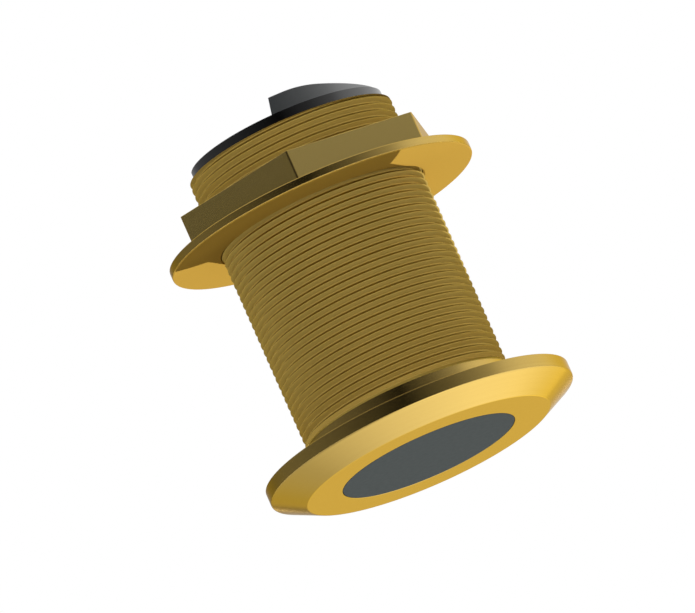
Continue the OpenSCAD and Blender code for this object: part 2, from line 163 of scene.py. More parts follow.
@dataclass(frozen=True)
class Finish:
    """What a surface is made of, how it was made and what that gives the eye.

    Attributes:
        name: Common name of the material and its surface.
        colour: Main colour, sRGB.
        shade: Second colour of the pattern, sRGB.
        pattern: How the surface was made.
        pattern_mm: Size of one grain, mark, chip or turn.
        bump_mm: Height of the pattern.
        roughness: Middle roughness.
        roughness_spread: How far the pattern moves the roughness each way.
        metallic: 1 for a metal.
        specular: Specular level of a surface that isn't metal.
        edge_tint: Colour that a metal keeps at a flat angle, sRGB.
        coat: Weight of a gloss skin.
        anisotropy: How far tool marks draw out the gloss across them.
        ior: Refractive index of a surface that isn't metal.
    """

    name: str
    colour: str
    shade: str
    pattern: Pattern
    pattern_mm: float
    bump_mm: float
    roughness: float
    roughness_spread: float = 0.04
    metallic: float = 0.0
    specular: float = 0.5
    edge_tint: str = "#FFFFFF"
    coat: float = 0.0
    anisotropy: float = 0.0
    ior: float = 1.5

    def material(self) -> bpy.types.Material:
        """Builds the material on its first use.

        Returns:
            The material.
        """
        known = bpy.data.materials.get(self.name)
        if known:
            return known
        made = bpy.data.materials.new(self.name)
        tree = bare_tree(made)
        height = self.pattern_height(tree)
        colours = {6: linear_colour(self.shade), 7: linear_colour(self.colour)}
        colour = add_node(tree, "Mix", {0: height, **colours}, data_type="RGBA")
        roughness = add_node(
            tree,
            "MapRange",
            {
                "Value": height,
                "To Min": self.roughness + self.roughness_spread,
                "To Max": self.roughness - self.roughness_spread,
            },
        )
        bump = add_node(tree, "Bump", {"Height": height, "Distance": self.bump_mm * MM, "Strength": 1.0})
        sockets = {
            "Base Color": colour.outputs[2],
            "Roughness": roughness.outputs["Result"],
            "Normal": bump.outputs["Normal"],
            "Metallic": self.metallic,
            "Specular IOR Level": self.specular,
            "Specular Tint": linear_colour(self.edge_tint),
            "Coat Weight": self.coat,
            "Anisotropic": self.anisotropy,
            "IOR": self.ior,
        }
        if self.anisotropy:
            sockets["Tangent"] = add_node(tree, "Tangent", direction_type="RADIAL", axis="Z").outputs[0]
            sockets["Anisotropic Rotation"] = QUARTER_TURN
        shader = add_node(tree, "BsdfPrincipled", sockets)
        add_node(tree, "OutputMaterial", {"Surface": shader.outputs[0]})
        return made

    def pattern_height(self, tree: bpy.types.NodeTree) -> bpy.types.NodeSocket:
        """Adds the nodes of the pattern.

        Args:
            tree: Node tree of the material.

        Returns:
            The output that gives the pattern's height, from 0 to 1.
        """
        place = add_node(tree, "TexCoord").outputs["Object"]
        per_metre = 1 / (self.pattern_mm * MM)
        if self.pattern is Pattern.TURNED:
            across = add_node(tree, "VectorMath", {0: place, 1: (1, 1, 0)}, operation="MULTIPLY")
            radius = add_node(tree, "VectorMath", {0: across.outputs[0]}, operation="LENGTH")
            split = add_node(tree, "SeparateXYZ", {0: place})
            along = add_node(
                tree, "Math", {0: radius.outputs["Value"], 1: split.outputs["Z"]}, operation="ADD"
            )
            marks = add_node(
                tree,
                "TexNoise",
                {"W": along.outputs[0], "Scale": per_metre, "Detail": MARK_DETAIL},
                noise_dimensions="1D",
            )
            return marks.outputs[0]
        if self.pattern is Pattern.CHIPS:
            chips = add_node(tree, "TexVoronoi", {"Vector": place, "Scale": per_metre})
            return chips.outputs["Distance"]
        if self.pattern is Pattern.WOUND:
            wave_period = math.tau / WAVE_RADIANS
            wires = add_node(
                tree,
                "TexWave",
                {"Vector": place, "Scale": wave_period * per_metre},
                wave_type="BANDS",
                bands_direction="Z",
            )
            return wires.outputs["Fac"]
        grain = add_node(
            tree, "TexNoise", {"Vector": place, "Scale": per_metre, "Detail": GRAIN_DETAIL}
        )
        return grain.outputs[0]


# Real tool marks and grain, 0.05 to 0.2 mm wide, wouldn't show, so most are drawn 0.3 to 0.8 mm wide

# Tin bronze, cast and then turned: a clean yellow metal with faint rings from the tool
TURNED_BRONZE = Finish(
    "tin bronze, turned", "#CDAF62", "#C6A75B", Pattern.TURNED,
    pattern_mm=0.7, bump_mm=0.0012, roughness=0.15, roughness_spread=0.03,
    metallic=1.0, edge_tint="#EDD297",
)
# The same bronze with a cut thread: torn a little by the die, so it is duller and browner
CUT_BRONZE = Finish(
    "tin bronze, cut thread", "#C0A557", "#B69B4F", Pattern.TURNED,
    pattern_mm=0.35, bump_mm=0.004, roughness=0.5, roughness_spread=0.06,
    metallic=0.2, specular=0.0, edge_tint="#DDC38C", anisotropy=0.6,
)
# The same bronze on the flanks that face up, in a darker colour and as bare metal: painted shade that
# draws the thread's dark lines
SHADED_FLANK_BRONZE = Finish(
    "tin bronze, cut flank, painted shade", "#A89249", "#9D8742", Pattern.GRAIN,
    pattern_mm=0.5, bump_mm=0.004, roughness=0.45, roughness_spread=0.05,
    metallic=1.0, edge_tint="#DDC38C",
)
# The same bronze on the nut's hull side: left as cast, so it is matt
CAST_BRONZE = Finish(
    "tin bronze, as cast", "#C69E44", "#C09940", Pattern.GRAIN,
    pattern_mm=0.6, bump_mm=0.004, roughness=0.6, roughness_spread=0.05, specular=0.0,
)
# The same bronze, milled flat: a satin face with a fine even grain
MILLED_BRONZE = Finish(
    "tin bronze, milled", "#D2B86D", "#C9AE65", Pattern.GRAIN,
    pattern_mm=0.5, bump_mm=0.0015, roughness=0.24, roughness_spread=0.04,
    metallic=1.0, edge_tint="#E4C67C",
)
# Polyurethane, cast in the face: dark grey, dull and a little soft
CAST_URETHANE = Finish(
    "polyurethane, cast", "#323736", "#2E3433", Pattern.GRAIN,
    pattern_mm=1.6, bump_mm=0.004, roughness=0.66, roughness_spread=0.05, specular=0.12,
)
# Nylon filled with carbon black, moulded in a polished tool: near black with a clear gloss
MOULDED_NYLON = Finish(
    "black nylon, moulded smooth", "#020202", "#010101", Pattern.GRAIN,
    pattern_mm=0.8, bump_mm=0.001, roughness=0.12, roughness_spread=0.03, specular=1.0, ior=1.58,
)
# The same nylon where the tool was spark textured: dark grey and satin
TEXTURED_NYLON = Finish(
    "black nylon, moulded textured", "#2A2E30", "#25292A", Pattern.GRAIN,
    pattern_mm=0.35, bump_mm=0.006, roughness=0.3, roughness_spread=0.05, specular=0.9, ior=2.0,
)
# The same nylon on the faces that look up, darker and satin: painted shade that keeps the top dark under
# the light from above
SHADED_TOP_NYLON = Finish(
    "black nylon, satin, painted shade", "#191B1C", "#151718", Pattern.GRAIN,
    pattern_mm=0.35, bump_mm=0.004, roughness=0.42, roughness_spread=0.05, ior=1.53,
)

# Ceramic with silver fired on: pale and satin
SILVERED_CERAMIC = Finish(
    "lead zirconate ceramic, silvered", "#D8D8D2", "#C6C6BE", Pattern.GRAIN,
    pattern_mm=0.6, bump_mm=0.004, roughness=0.38, metallic=1.0,
)
# Cork bound with rubber: light brown, darker at the heart of each chip, and matt
CORK_RUBBER = Finish(
    "cork and rubber sheet, pressed", "#B98F5E", "#6E5234", Pattern.CHIPS,
    pattern_mm=1.2, bump_mm=0.05, roughness=0.85,
)
# Sintered ferrite, ground: dark grey with a dull gloss
FERRITE = Finish(
    "manganese zinc ferrite, ground", "#3C3C40", "#2E2E32", Pattern.GRAIN,
    pattern_mm=0.4, bump_mm=0.006, roughness=0.45,
)
# Nylon without pigment: milky and smooth
MOULDED_BOBBIN = Finish(
    "natural nylon, moulded", "#EDE9DC", "#DDD8C6", Pattern.GRAIN,
    pattern_mm=0.8, bump_mm=0.003, roughness=0.4,
)
# Enamelled wire in turns: red-brown ridges under a clear gloss
ENAMELLED_COPPER = Finish(
    "copper wire, enamelled", "#B8693A", "#6A3418", Pattern.WOUND,
    pattern_mm=0.4, bump_mm=0.1, roughness=0.3, metallic=1.0, coat=0.6,
)
# Brass off the lathe: yellow with fine rings
TURNED_BRASS = Finish(
    "brass, turned", "#C9A45C", "#B48F48", Pattern.TURNED,
    pattern_mm=0.3, bump_mm=0.002, roughness=0.28, metallic=1.0,
)
# Vulcanised fibre: brick red and matt
FIBRE_WASHER = Finish(
    "vulcanised fibre, punched", "#A4573F", "#8A4632", Pattern.GRAIN,
    pattern_mm=0.5, bump_mm=0.01, roughness=0.7,
)
# Solder that has flowed: bright and a little uneven
TIN_SOLDER = Finish(
    "tin solder, reflowed", "#B9BCBE", "#A4A8AA", Pattern.GRAIN,
    pattern_mm=0.7, bump_mm=0.01, roughness=0.3, metallic=1.0,
)
# Silicone round a lead: one even colour with a soft sheen
RED_LEAD = Finish(
    "red silicone insulation, extruded", "#B22222", "#9C1C1C", Pattern.GRAIN,
    pattern_mm=0.5, bump_mm=0.004, roughness=0.5,
)
GREY_LEAD = Finish(
    "grey silicone insulation, extruded", "#696969", "#5A5A5A", Pattern.GRAIN,
    pattern_mm=0.5, bump_mm=0.004, roughness=0.5,
)
BLUE_LEAD = Finish(
    "blue silicone insulation, extruded", "#34568B", "#2B4974", Pattern.GRAIN,
    pattern_mm=0.5, bump_mm=0.004, roughness=0.5,
)
# Epoxy that the bead was dipped in: black with a gloss skin
EPOXY_BEAD = Finish(
    "black epoxy, dipped", "#26221F", "#1D1A18", Pattern.GRAIN,
    pattern_mm=0.9, bump_mm=0.01, roughness=0.3, coat=0.4,
)
# Tinned wire: silvery and smooth
TINNED_WIRE = Finish(
    "copper wire, tinned", "#C4C7C9", "#B2B5B7", Pattern.GRAIN,
    pattern_mm=0.3, bump_mm=0.002, roughness=0.3, metallic=1.0,
)
# Sleeve shrunk over a joint: near black and satin
SHRINK_TUBE = Finish(
    "polyolefin sleeve, shrunk on", "#202124", "#18191B", Pattern.GRAIN,
    pattern_mm=0.6, bump_mm=0.01, roughness=0.5,
)
# Epoxy poured round everything: dark brown and level
POTTING = Finish(
    "epoxy potting compound, poured", "#3A2E22", "#30261C", Pattern.GRAIN,
    pattern_mm=2.0, bump_mm=0.01, roughness=0.35,
)

INNER_FINISHES: dict[str, Finish] = {
    "piezo_disc": SILVERED_CERAMIC,
    "isolation_sleeve": CORK_RUBBER,
    "backing_pad": CORK_RUBBER,
    "solder_joints": TIN_SOLDER,
    "hot_lead": RED_LEAD,
    "ground_lead": GREY_LEAD,
    "core_lower": FERRITE,
    "core_upper": FERRITE,
    "bobbin": MOULDED_BOBBIN,
    "winding": ENAMELLED_COPPER,
    "core_screw": TURNED_BRASS,
    "core_washers": FIBRE_WASHER,
    "core_nut": TURNED_BRASS,
    "output_leads": BLUE_LEAD,
    "thermistor": EPOXY_BEAD,
    "thermistor_leads": TINNED_WIRE,
    "splice_sleeves": SHRINK_TUBE,
    "potting_fill": POTTING,
}


class Workpiece:
    """A mesh object that is shaped with edit-mode operators and modifiers."""

    def __init__(self, obj: bpy.types.Object, name: str) -> None:
        """Takes an object that was just added and names it.

        Args:
            obj: The object.
            name: Its new name, which its mesh gets too.
        """
        self.obj = obj
        self.obj.name = name
        self.obj.data.name = name

    @staticmethod
    def clear_selection() -> None:
        """Leaves no object selected, the frame's nodes among them."""
        bpy.ops.object.select_all(action="DESELECT")

    @classmethod
    def added(cls, name: str) -> "Workpiece":
        """Takes the primitive that was added last, with its place moved into its mesh."""
        bpy.ops.object.transform_apply(location=True, rotation=True, scale=True)
        return cls(bpy.context.object, name)

    @classmethod
    def outline(cls, name: str, points: Sequence[Point]) -> "Workpiece":
        """Draws an open outline in the plane of X and Z, from one vertex onwards.

        Args:
            name: Name of the object.
            points: Places along X and Z, in millimetres.

        Returns:
            The outline as a chain of edges.
        """
        cls.clear_selection()
        bpy.ops.mesh.primitive_plane_add(size=MM)
        piece = cls.added(name)
        places = [Vector((x, 0, z)) * MM for x, z in points]
        with piece.editing():
            bpy.ops.mesh.select_all(action="SELECT")
            bpy.ops.mesh.merge(type="CENTER")
            bpy.ops.transform.translate(value=places[0])
            for here, there in zip(places, places[1:]):
                bpy.ops.mesh.extrude_vertices_move(TRANSFORM_OT_translate={"value": there - here})
        return piece

    @classmethod
    def turned(cls, name: str, points: Sequence[Point]) -> "Workpiece":
        """Spins an outline of radii and heights once round the stem's axis.

        Args:
            name: Name of the object.
            points: Radius and height of each point, in millimetres.

        Returns:
            The turned piece, with its seam closed.
        """
        piece = cls.outline(name, points)
        with piece.editing():
            bpy.ops.mesh.select_all(action="SELECT")
            bpy.ops.mesh.spin(
                steps=TURN_STEPS, angle=math.tau, center=(0, 0, 0), axis=(0, 0, 1), use_auto_merge=True
            )
        piece.weld()
        return piece

    @classmethod
    def prism(cls, name: str, points: Sequence[Point], half_width: float) -> "Workpiece":
        """Fills a closed outline in the plane of X and Z and extrudes it along Y.

        Args:
            name: Name of the object.
            points: Corners of the section, in millimetres.
            half_width: Reach of the prism on each side of the plane, in millimetres.

        Returns:
            The prism.
        """
        piece = cls.outline(name, points)
        with piece.editing():
            bpy.ops.mesh.select_all(action="SELECT")
            bpy.ops.mesh.edge_face_add()
            bpy.ops.transform.translate(value=(0, -half_width * MM, 0))
            across = (0, 2 * half_width * MM, 0)
            bpy.ops.mesh.extrude_region_move(TRANSFORM_OT_translate={"value": across})
        piece.weld()
        return piece

    @classmethod
    def bar(
        cls, name: str, radius: float, start: Vector, end: Vector, sides: int = TURN_STEPS
    ) -> "Workpiece":
        """Adds a straight bar between two places, given in millimetres.

        Args:
            name: Name of the object.
            radius: Radius of the bar, over its corners.
            start: Centre of the first end.
            end: Centre of the other end.
            sides: Number of sides.

        Returns:
            The bar.
        """
        cls.clear_selection()
        run = end - start
        bpy.ops.mesh.primitive_cylinder_add(
            vertices=sides,
            radius=radius * MM,
            depth=run.length * MM,
            location=(start + end) / 2 * MM,
            rotation=run.to_track_quat("Z", "Y").to_euler(),
        )
        return cls.added(name)

    @classmethod
    def disc(cls, name: str, radius: float, height: float) -> "Workpiece":
        """Adds a level disc that faces up.

        Args:
            name: Name of the object.
            radius: Radius of the disc, in millimetres.
            height: Height of the disc, in millimetres.

        Returns:
            The disc.
        """
        cls.clear_selection()
        bpy.ops.mesh.primitive_circle_add(
            vertices=TURN_STEPS, radius=radius * MM, fill_type="NGON", location=(0, 0, height * MM)
        )
        return cls.added(name)

    def activate(self) -> None:
        """Selects this piece alone and makes it the one that operators act on."""
        self.clear_selection()
        bpy.context.view_layer.objects.active = self.obj
        self.obj.select_set(True)

    @contextlib.contextmanager
    def editing(self) -> Iterator[bmesh.types.BMesh]:
        """Enters edit mode on this piece alone.

        Yields:
            The piece's mesh.
        """
        self.activate()
        bpy.ops.object.mode_set(mode="EDIT")
        bpy.ops.mesh.select_mode(type="VERT")
        yield bmesh.from_edit_mesh(self.obj.data)
        bpy.ops.object.mode_set(mode="OBJECT")

    def weld(self) -> None:
        """Merges doubles, drops faces without area and turns all faces outwards."""
        with self.editing():
            bpy.ops.mesh.select_all(action="SELECT")
            bpy.ops.mesh.remove_doubles(threshold=WELD_GAP)
            bpy.ops.mesh.dissolve_degenerate(threshold=WELD_GAP)
            bpy.ops.mesh.select_all(action="SELECT")
            bpy.ops.mesh.normals_make_consistent(inside=False)

    def modify(self, kind: str, **settings: Any) -> None:
        """Adds a modifier and applies it.

        Args:
            kind: Type of the modifier.
            settings: Properties of the modifier.
        """
        self.activate()
        modifier = self.obj.modifiers.new(kind.lower(), kind)
        for name, value in settings.items():
            setattr(modifier, name, value)
        bpy.ops.object.modifier_apply(modifier=modifier.name)

    def combine(self, other: "Workpiece", operation: str) -> None:
        """Joins another piece to this one or cuts it away, and uses it up.

        Args:
            other: The piece to join or the tool to cut with.
            operation: UNION or DIFFERENCE.
        """
        self.modify("BOOLEAN", object=other.obj, operation=operation, solver="EXACT")
        bpy.data.objects.remove(other.obj)

    def join(self, other: "Workpiece") -> None:
        """Takes over another piece's faces and welds where the two meet.

        Args:
            other: The piece to take over.
        """
        self.activate()
        other.obj.select_set(True)
        bpy.ops.object.join()
        self.weld()

    @contextlib.contextmanager
    def picked_edges(self, wanted: EdgeTest) -> Iterator[None]:
        """Enters edit mode with the edges selected whose two ends pass a test.

        Args:
            wanted: Test of an edge's two ends.
        """
        with self.editing() as mesh:
            bpy.ops.mesh.select_all(action="DESELECT")
            bpy.ops.mesh.select_mode(type="EDGE")
            for edge in mesh.edges:
                edge.select_set(wanted(*(corner.co for corner in edge.verts)))
            bmesh.update_edit_mesh(self.obj.data)
            yield

    def break_edges(self, wanted: EdgeTest, width: float) -> None:
        """Bevels the edges whose two ends pass a test.

        Args:
            wanted: Test of an edge's two ends.
            width: Width of the bevel, in millimetres.
        """
        with self.picked_edges(wanted):
            bpy.ops.mesh.bevel(offset=width * MM, segments=BEVEL_STEPS, affect="EDGES")

    def smooth(self, sharp: EdgeTest | None = None) -> None:
        """Shades round stretches smooth, while large flat faces stay flat.

        Args:
            sharp: Test of the two ends of an edge that stays sharp at any angle.
        """
        self.activate()
        bpy.ops.object.shade_smooth_by_angle(angle=SMOOTH_ANGLE)
        if sharp:
            with self.picked_edges(sharp):
                bpy.ops.mesh.mark_sharp()
        self.modify("WEIGHTED_NORMAL", mode="FACE_AREA", keep_sharp=True)

    def dress(self, finish: Finish, wanted: FaceTest | None = None) -> None:
        """Gives a finish to the faces that pass a test, or to all of them.

        Args:
            finish: The finish.
            wanted: Test of a face's centre and normal, or nothing for every face.
        """
        materials = self.obj.data.materials
        materials.append(finish.material())
        for face in self.obj.data.polygons:
            if wanted is None or wanted(face.center, face.normal):
                face.material_index = len(materials) - 1

    def seat(self, node: str, body: str, slot: str) -> None:
        """Puts the finished piece in the place of a node of the frame.

        Args:
            node: The node that this piece stands for.
            body: The body that it rides on.
            slot: The record's material slot; not used.
        """
        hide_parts(node)
        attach(self.obj, body)
        triangles = sum(len(face.vertices) - 2 for face in self.obj.data.polygons)
        LOG.info("%s stands for %s: %d triangles", self.obj.name, node, triangles)


@dataclass
class Housing:
    """The bronze casting: flange, neck and threaded stem, bored right through."""

    flange_r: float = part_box("thru_hull_housing")[HIGH].x / MM
    stem_h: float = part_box("thru_hull_housing")[HIGH].z / MM
    face_r: float = 36.45
    slope_h: float = 4.7
    flange_h: float = 8.5
    rim_round: float = 0.5
    rim_top_round: float = 0.12
    face_round: float = 1.0
    neck_round: float = 0.6
    neck_h: float = 6.1
    stem_r: float = 30.15
    bore_r: float = 25.8
    edge_break: float = 0.15
    lip_round: float = 0.1
    rib_z: float = 1.4
    rib_h: float = 1.2
    rib_depth: float = 0.8
    thread_pitch: float = 2.071
    thread_depth: float = 1.27
    thread_crest: float = 0.26
    thread_front_z: float = 62.17
    thread_half_angle: float = 30.0
    crest_break: float = 0.1
    # Turns that the helix runs on past each end of the thread before it is fitted to the stem
    spare_turns: int = 2

    @property
    def thread_z(self) -> float:
        """Height where the thread starts."""
        return self.flange_h + self.neck_h

    def build(self) -> Workpiece:
        """Turns the body, cuts the thread and welds the two.

        Returns:
            The finished casting.
        """
        piece = Workpiece.turned("housing_bronze", self.body_outline())
        piece.dress(TURNED_BRONZE)
        piece.join(self.thread())
        neck_top = self.thread_z * MM
        piece.smooth(sharp=lambda a, b: max(abs(a.z - neck_top), abs(b.z - neck_top)) < WELD_GAP)
        return piece

    def body_outline(self) -> list[Point]:
        """Draws the body's section, from the thread's start down, round the flange and up the bore.

        Returns:
            Radius and height of each point.
        """
        run = self.flange_r - self.face_r
        slope = math.degrees(math.atan2(self.slope_h, run))
        rim_low = self.slope_h + self.rim_round * math.tan(math.radians(45 - slope / 2))
        face_end = self.face_r - self.face_round * math.tan(math.radians(slope / 2))
        rib_top = self.rib_z + self.rib_h
        rim_top_r = self.flange_r - self.rim_top_round
        neck_foot = (self.stem_r + self.neck_round, self.flange_h + self.neck_round)
        return [
            (self.stem_r, self.thread_z),
            *arc(neck_foot, self.neck_round, 180, 270),
            *arc((rim_top_r, self.flange_h - self.rim_top_round), self.rim_top_round, 90, 0),
            *arc((self.flange_r - self.rim_round, rim_low), self.rim_round, 0, slope - 90),
            *arc((face_end, self.face_round), self.face_round, slope - 90, -90),
            *arc((self.bore_r + self.lip_round, self.lip_round), self.lip_round, -90, -180),
            (self.bore_r, self.rib_z),
            (self.bore_r + self.rib_depth, self.rib_z),
            (self.bore_r + self.rib_depth, rib_top),
            (self.bore_r, rib_top),
            (self.bore_r, self.stem_h - self.edge_break),
            (self.bore_r + self.edge_break, self.stem_h),
            (self.stem_r - self.edge_break, self.stem_h),
        ]

    def thread(self) -> Workpiece:
        """Runs one pitch of the thread's section up the stem as a right-hand helix.

        Returns:
            The thread's surface, open at both ends.
        """
        groove = self.thread_pitch - self.thread_crest
        slant = math.tan(math.radians(self.thread_half_angle))
        flank = self.thread_depth * slant
        root_r = self.stem_r - self.thread_depth
        # The helix starts at +X, a quarter turn past the front, and well below the neck's end
        run, below = self.stem_h - self.thread_z, self.thread_front_z - self.thread_z
        turns = math.ceil(run / self.thread_pitch) + self.spare_turns + 1
        turns_below = math.ceil(below / self.thread_pitch) + self.spare_turns
        start = self.thread_front_z + (QUARTER_TURN - turns_below) * self.thread_pitch
        piece = Workpiece.outline(
            "stem_thread",
            [
                (self.stem_r, start - self.crest_break),
                (self.stem_r - self.crest_break, start + self.crest_break * slant),
                (root_r, start + flank),
                (root_r, start + groove - flank),
                (self.stem_r - self.crest_break, start + groove - self.crest_break * slant),
                (self.stem_r, start + groove + self.crest_break),
                (self.stem_r, start - self.crest_break + self.thread_pitch),
            ],
        )
        piece.modify(
            "SCREW",
            axis="Z",
            angle=math.tau,
            screw_offset=self.thread_pitch * MM,
            iterations=turns,
            steps=TURN_STEPS,
            render_steps=TURN_STEPS,
        )
        piece.weld()
        break_z = (self.stem_h - self.edge_break) * MM
        with piece.editing():
            bpy.ops.mesh.select_all(action="SELECT")
            bpy.ops.mesh.bisect(plane_co=(0, 0, break_z), plane_no=(0, 0, 1))
        piece.dress(CUT_BRONZE)
        # Up-facing flanks take the darker finish: painted shade for the thread's dark lines
        piece.dress(SHADED_FLANK_BRONZE, lambda centre, normal: normal.z > UPWARD and centre.z < break_z)
        for vertex in piece.obj.data.vertices:
            vertex.co = self.thread_place(vertex.co / MM) * MM
        return piece

    def thread_place(self, place: Vector) -> Vector:
        """Moves a point of the endless thread to where the stem's thread runs out or ends.

        Args:
            place: The point on the endless thread, in millimetres.

        Returns:
            The point on the stem, in millimetres.
        """
        radius = math.hypot(place.x, place.y)
        height = min(max(place.z, self.thread_z), self.stem_h)
        cut_in = min((height - self.thread_z) / self.thread_pitch, 1.0)
        new_radius = self.stem_r - (self.stem_r - radius) * cut_in
        past_break = height - (self.stem_h - self.edge_break)
        if place.z >= self.stem_h:
            new_radius = self.stem_r - self.edge_break
        elif past_break > 0:
            new_radius = min(new_radius, self.stem_r - past_break)
        return Vector((place.x * new_radius / radius, place.y * new_radius / radius, height))


@dataclass
class HullNut:
    """The bronze nut: a hexagon on a thin round flange."""

    rim_r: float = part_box("hull_nut")[HIGH].x / MM
    seat_z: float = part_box("hull_nut")[LOW].z / MM
    top_z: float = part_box("hull_nut")[HIGH].z / MM
    bore_r: float = 30.24
    flat_r: float = 34.925
    turn: float = 27.07
    flange_t: float = 2.5
    flange_rise: float = 0.8
    rim_round: float = 0.5
    rim_top_round: float = 0.2
    lead_in: float = 0.4
    top_break: float = 0.12
    corner_break: float = 0.4
    # A face that turns further than this from a flat belongs to a corner
    corner_margin: float = 3.0

    @property
    def corner_r(self) -> float:
        """Radius over the hexagon's corners."""
        return self.flat_r / math.cos(math.radians(HEX_STEP / 2))

    def build(self) -> Workpiece:
        """Joins the hexagon to the flange and bores both.

        Returns:
            The finished nut.
        """
        piece = Workpiece.turned("nut_bronze", self.flange_outline())
        piece.combine(self.hexagon(), "UNION")
        piece.combine(self.bore(), "DIFFERENCE")
        piece.weld()
        piece.smooth()
        piece.dress(TURNED_BRONZE)
        hex_low = (self.seat_z + self.flange_t) * MM
        piece.dress(
            MILLED_BRONZE, lambda centre, normal: centre.z > hex_low and not self.on_corner(centre, normal)
        )
        piece.dress(CAST_BRONZE, lambda centre, normal: normal.z < -UPWARD)
        return piece

    def on_corner(self, centre: Vector, normal: Vector) -> bool:
        """Tells whether a face lies on one of the hexagon's rounded corners.

        Args:
            centre: Centre of the face, in metres.
            normal: Normal of the face.

        Returns:
            True on a corner.
        """
        upright = abs(normal.z) < UPWARD and math.hypot(centre.x, centre.y) > self.flat_r * MM
        facing = math.degrees(math.atan2(normal.y, normal.x)) - self.turn
        off_flat = abs(facing % HEX_STEP - HEX_STEP / 2)
        return upright and off_flat > self.corner_margin

    def flange_outline(self) -> list[Point]:
        """Draws the flange's section, out along its underside and back over its sloped top.

        Returns:
            Radius and height of each point.
        """
        inner_r = self.bore_r - CUT_PAST
        seat_z, rim_top_z = self.seat_z, self.seat_z + self.flange_t
        crown_z = rim_top_z + self.flange_rise
        low_r, low_z = self.rim_r - self.rim_round, seat_z + self.rim_round
        high_r, high_z = self.rim_r - self.rim_top_round, rim_top_z - self.rim_top_round
        return [
            (inner_r, seat_z),
            *arc((low_r, low_z), self.rim_round, -90, 0),
            *arc((high_r, high_z), self.rim_top_round, 0, 90),
            (self.flat_r, crown_z),
            (inner_r, crown_z),
            (inner_r, seat_z),
        ]

    def hexagon(self) -> Workpiece:
        """Makes the hexagon and breaks its corners and top edges.

        Returns:
            The hexagon, from inside the flange up.
        """
        low = self.seat_z + self.rim_round
        piece = Workpiece.bar(
            "nut_hexagon", self.corner_r, Vector((0, 0, low)), Vector((0, 0, self.top_z)), sides=6
        )
        # A new bar with six sides has its corners half a step off +X, and rotate turns it clockwise
        first_corner = HEX_STEP / 2
        with piece.editing():
            bpy.ops.mesh.select_all(action="SELECT")
            bpy.ops.transform.rotate(
                value=math.radians(first_corner - self.turn), orient_axis="Z", center_override=(0, 0, 0)
            )
        middle = (low + self.top_z) / 2 * MM
        piece.break_edges(lambda a, b: min(a.z, b.z) < middle < max(a.z, b.z), self.corner_break)
        piece.break_edges(lambda a, b: min(a.z, b.z) > middle, self.top_break)
        return piece

    def bore(self) -> Workpiece:
        """Makes the tool that bores the nut, with its lead-in chamfers.

        Returns:
            The tool.
        """
        mouth_r = self.bore_r + self.lead_in + CUT_PAST
        low, high = self.seat_z, self.top_z
        return Workpiece.turned(
            "nut_bore",
            [
                (0, low - CUT_PAST),
                (mouth_r, low - CUT_PAST),
                (self.bore_r, low + self.lead_in),
                (self.bore_r, high - self.lead_in),
                (mouth_r, high + CUT_PAST),
                (0, high + CUT_PAST),
            ],
        )


@dataclass
class Window:
    """The urethane disc cast into the sonar face."""

    edge_r: float = 25.75
    thickness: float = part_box("acoustic_window")[HIGH].z / MM
    edge_round: float = 0.3
    rib_r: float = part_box("acoustic_window")[HIGH].x / MM
    rib_low: float = 1.45
    rib_high: float = 2.55

    def build(self) -> Workpiece:
        """Turns the disc with its rounded edge and its keying rib.

        Returns:
            The finished disc.
        """
        piece = Workpiece.turned(
            "window_urethane",
            [
                (0, 0),
                *arc((self.edge_r - self.edge_round, self.edge_round), self.edge_round, -90, 0),
                (self.edge_r, self.rib_low),
                (self.rib_r, self.rib_low),
                (self.rib_r, self.rib_high),
                (self.edge_r, self.rib_high),
                (self.edge_r, self.thickness),
                (0, self.thickness),
            ],
        )
        piece.smooth()
        piece.dress(CAST_URETHANE)
        return piece


